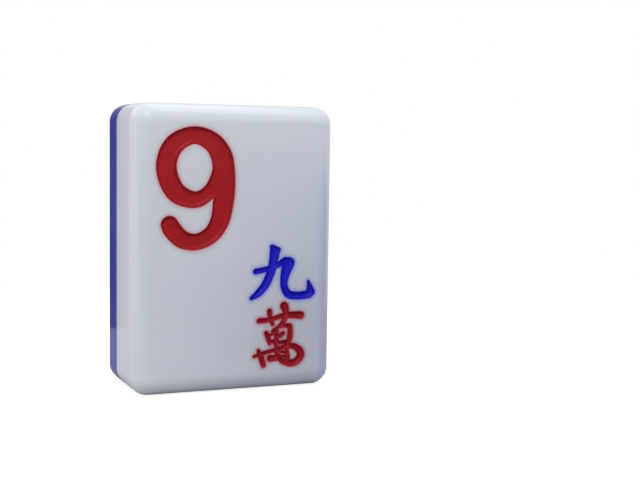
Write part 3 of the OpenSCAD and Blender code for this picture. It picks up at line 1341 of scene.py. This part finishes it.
@dataclass(frozen=True)
class Studio:
    """A pale floor, white surroundings, soft lamps and dark cards."""

    BACK_Y = 0.04
    BACK_TOP = 0.065
    BACK_FADE = 0.034
    BACK_ENDS = (-0.2, -0.008, 0.003, 0.05)
    FRONT_Y = -0.04
    BLACK_CARD = (0.1, 0.1, 0.11, 1.0)
    SLATE_CARD = (0.12, 0.12, 0.13, 1.0)

    ambient: tuple = (0.715, 0.735, 0.775, 1.0)
    floor_colour: tuple = (0.5, 0.5, 0.51, 1.0)
    floor_lift: float = 0.78
    shadow_near: float = 0.05
    shadow_far: float = 0.1
    floor_size: float = 4.0
    lamps: tuple = (
        SoftLamp("key_lamp", (-0.05, -0.14, 0.17), 0.12, 0.12, 2.35, gloss=0.2),
        SoftLamp("overhead_strip", (0.035, 0.004, 0.15), 0.14, 0.04, 1.3),
        SoftLamp("left_strip", (-0.2, 0.02, 0.06), 0.04, 0.15, 0.5, gloss=0.5),
        SoftLamp("left_fill", (-0.2, 0.16, 0.09), 0.2, 0.2, 1.15, gloss=0.0),
    )
    cards: tuple = (
        FlagCard("back_flag", (BACK_ENDS[0], BACK_Y), (BACK_ENDS[1], BACK_Y), BACK_TOP, BLACK_CARD,
                 fade=BACK_FADE, paler_left_of=-0.0225),
        FlagCard("back_low_flag", (BACK_ENDS[1], BACK_Y), (BACK_ENDS[2], BACK_Y), 0.042, SLATE_CARD,
                 fade=0.01),
        FlagCard("back_right_flag", (BACK_ENDS[2], BACK_Y), (BACK_ENDS[3], BACK_Y), BACK_TOP, SLATE_CARD,
                 fade=BACK_FADE),
        FlagCard("front_flag", (-0.12, FRONT_Y), (0.12, FRONT_Y), 0.031, BLACK_CARD, fade=0.009),
        FlagCard("right_flag", (0.0135, -0.006), (0.032, -0.05), 0.024, (0.12, 0.13, 0.42, 1.0),
                 takes_light=True),
        FlagCard("low_flag", (0.004, -0.026), (0.05, -0.03), 0.014, (0.04, 0.04, 0.06, 1.0),
                 takes_light=True),
    )

    @staticmethod
    def _seen(graph: Graph) -> bpy.types.NodeSocket:
        """Tells the rays that show the background from those that light the tile.

        Args:
            graph: The graph of the material or the world.

        Returns:
            A value of 1 for the rays that show it.
        """
        rays = graph.add("ShaderNodeLightPath").outputs
        seen = graph.math("MAXIMUM", rays["Is Camera Ray"], rays["Is Glossy Ray"])
        return graph.math("MAXIMUM", seen, rays["Is Transmission Ray"])

    def build(self, target: Vector) -> None:
        """Makes the floor, the surroundings, the lamps and the cards.

        Args:
            target: The point that the lamps face.
        """
        self._surroundings()
        self._floor()
        for lamp in self.lamps:
            lamp.build(target)
        for card in self.cards:
            card.build()
        bpy.context.scene.view_settings.view_transform = "Standard"

    def _surroundings(self) -> None:
        """Makes the world: white where it is seen, and a soft cool light on the tile."""
        world = bpy.data.worlds.new("surroundings")
        graph = Graph.of(world)
        light = graph.add("ShaderNodeBackground", {"Color": self.ambient})
        white = graph.add("ShaderNodeBackground", {"Color": WHITE})
        seen = self._seen(graph)
        mixed = graph.add("ShaderNodeMixShader", {0: seen, 1: light.outputs[0], 2: white.outputs[0]})
        graph.add("ShaderNodeOutputWorld", {"Surface": mixed.outputs[0]})
        bpy.context.scene.world = world

    def _floor(self) -> None:
        """Makes the floor: it takes the tile's shadow, and is white where it is seen further away."""
        material = bpy.data.materials.new("floor")
        graph = Graph.of(material)
        seen = self._seen(graph)
        matt = graph.add("ShaderNodeBsdfDiffuse", {"Color": self.floor_colour})
        camera = graph.add("ShaderNodeLightPath").outputs["Is Camera Ray"]
        lifted = graph.math("MULTIPLY", camera, self.floor_lift)
        lift = graph.add("ShaderNodeEmission", {"Strength": lifted})
        near = graph.add("ShaderNodeAddShader", {0: matt.outputs[0], 1: lift.outputs[0]})
        white = graph.add("ShaderNodeEmission", {"Strength": 1.0})
        place = graph.add("ShaderNodeTexCoord").outputs["Object"]
        away = graph.add("ShaderNodeVectorMath", {0: place}, operation="LENGTH").outputs["Value"]
        far = graph.math("MULTIPLY", seen, graph.span(away, self.shadow_near, self.shadow_far))
        mixed = graph.add("ShaderNodeMixShader", {0: far, 1: near.outputs[0], 2: white.outputs[0]})
        graph.add("ShaderNodeOutputMaterial", {"Surface": mixed.outputs[0]})
        half = self.floor_size / 2
        corners = [(-half, -half, 0.0), (half, -half, 0.0), (half, half, 0.0), (-half, half, 0.0)]
        staged_sheet("floor", corners, material)


# The white plastic's seam colour is a painted glow of the blue layer's light, and its rims round the strokes
# carry a painted highlight and glow.
WHITE_PLASTIC = PolishedPlastic(
    name="white_plastic", slot="face_plastic", colour=(0.74, 0.77, 0.8, 1.0),
    seam_glow_colour=(0.57, 0.6, 1.0, 1.0), seam_width=1.0, dust_colour=(0.3, 0.31, 0.35, 1.0), roughness=0.12,
    translucence=0.3, glow_radius=(1.5, 1.7, 2.0), clouds=0.02, halo_rim_width=0.19, halo_reach=0.5)

# The blue plastic's seam colour paints a lighter band, a painted glow, beside the seam.
BLUE_PLASTIC = PolishedPlastic(
    name="blue_plastic", slot="back_plastic", colour=(0.014, 0.012, 0.34, 1.0),
    seam_glow_colour=(0.03, 0.03, 0.42, 1.0), seam_width=0.4, dust_colour=(0.3, 0.32, 0.5, 1.0), roughness=0.1,
    translucence=0.0, glow_radius=(0.2, 0.2, 1.0), clouds=0.05)

# Each enamel's wall colour is painted shade; its lighter colour paints glints at the foot of the walls and
# the halo round its strokes.
ENAMELS = {
    Enamel.NUMERAL: DriedEnamel(
        "red_enamel", "red_paint", colour=(0.44, 0.009, 0.013, 1.0), wall_shade_colour=(0.32, 0.004, 0.012, 1.0),
        painted_light_colour=(0.82, 0.15, 0.16, 1.0)),
    Enamel.RANK: DriedEnamel(
        "blue_enamel", "blue_paint", colour=(0.012, 0.012, 0.6, 1.0), wall_shade_colour=(0.006, 0.005, 0.42, 1.0),
        painted_light_colour=(0.14, 0.16, 1.0, 1.0), wall_width=0.16, halo_spread=0.03),
    Enamel.SUIT: DriedEnamel(
        "dark_red_enamel", "dark_red_paint", colour=(0.44, 0.012, 0.022, 1.0),
        wall_shade_colour=(0.34, 0.006, 0.015, 1.0), painted_light_colour=(0.68, 0.09, 0.11, 1.0), wall_width=0.14,
        halo_spread=0.05),
}


def main() -> None:
    """Builds the tile and its setting."""
    logging.basicConfig(level=logging.INFO, format="%(name)s: %(message)s")
    sizes = TileSizes.measured()
    effects = Effects()
    seam_mm = float(sizes.seam_y / MM)
    tree = LayerTree(LayerForm())
    lines = face_lines(sizes)
    outlines = {mark: Outline(lines_within(lines, mark.value)) for mark in Enamel}
    edge, floor = (corner.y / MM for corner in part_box(Enamel.NUMERAL.value))
    face_mm = sizes.face_y / MM
    engrave_d = floor - face_mm
    section = Section.enamel(drop=edge - face_mm, hollow=HOLLOW_MM)

    # The white layer carries the painted halo round the strokes, in each enamel's lighter colour.
    EngravedLayer("white_layer", "face_block", float(sizes.face_y), sizes, tree,
                  WHITE_PLASTIC.material(effects, seam_mm), WHITE_PLASTIC.slot, open_face=True,
                  outlines=list(outlines.values()),
                  halo_colours=[ENAMELS[mark].painted_light_colour[:3] for mark in outlines],
                  halo_spreads=[ENAMELS[mark].halo_spread for mark in outlines], engrave_d=engrave_d).build()
    Layer("blue_layer", "back_block", float(sizes.back_y), sizes, tree,
          BLUE_PLASTIC.material(effects, seam_mm), BLUE_PLASTIC.slot).build()
    for mark, outline in outlines.items():
        enamel = ENAMELS[mark]
        EnamelCoat(mark, outline, section, sizes, enamel.material(effects), enamel.slot, engrave_d).build()

    Studio().build(Vector((0.0, 0.0, sizes.height / 2)))
    PhotoView().build()


if __name__ == "__main__":
    main()
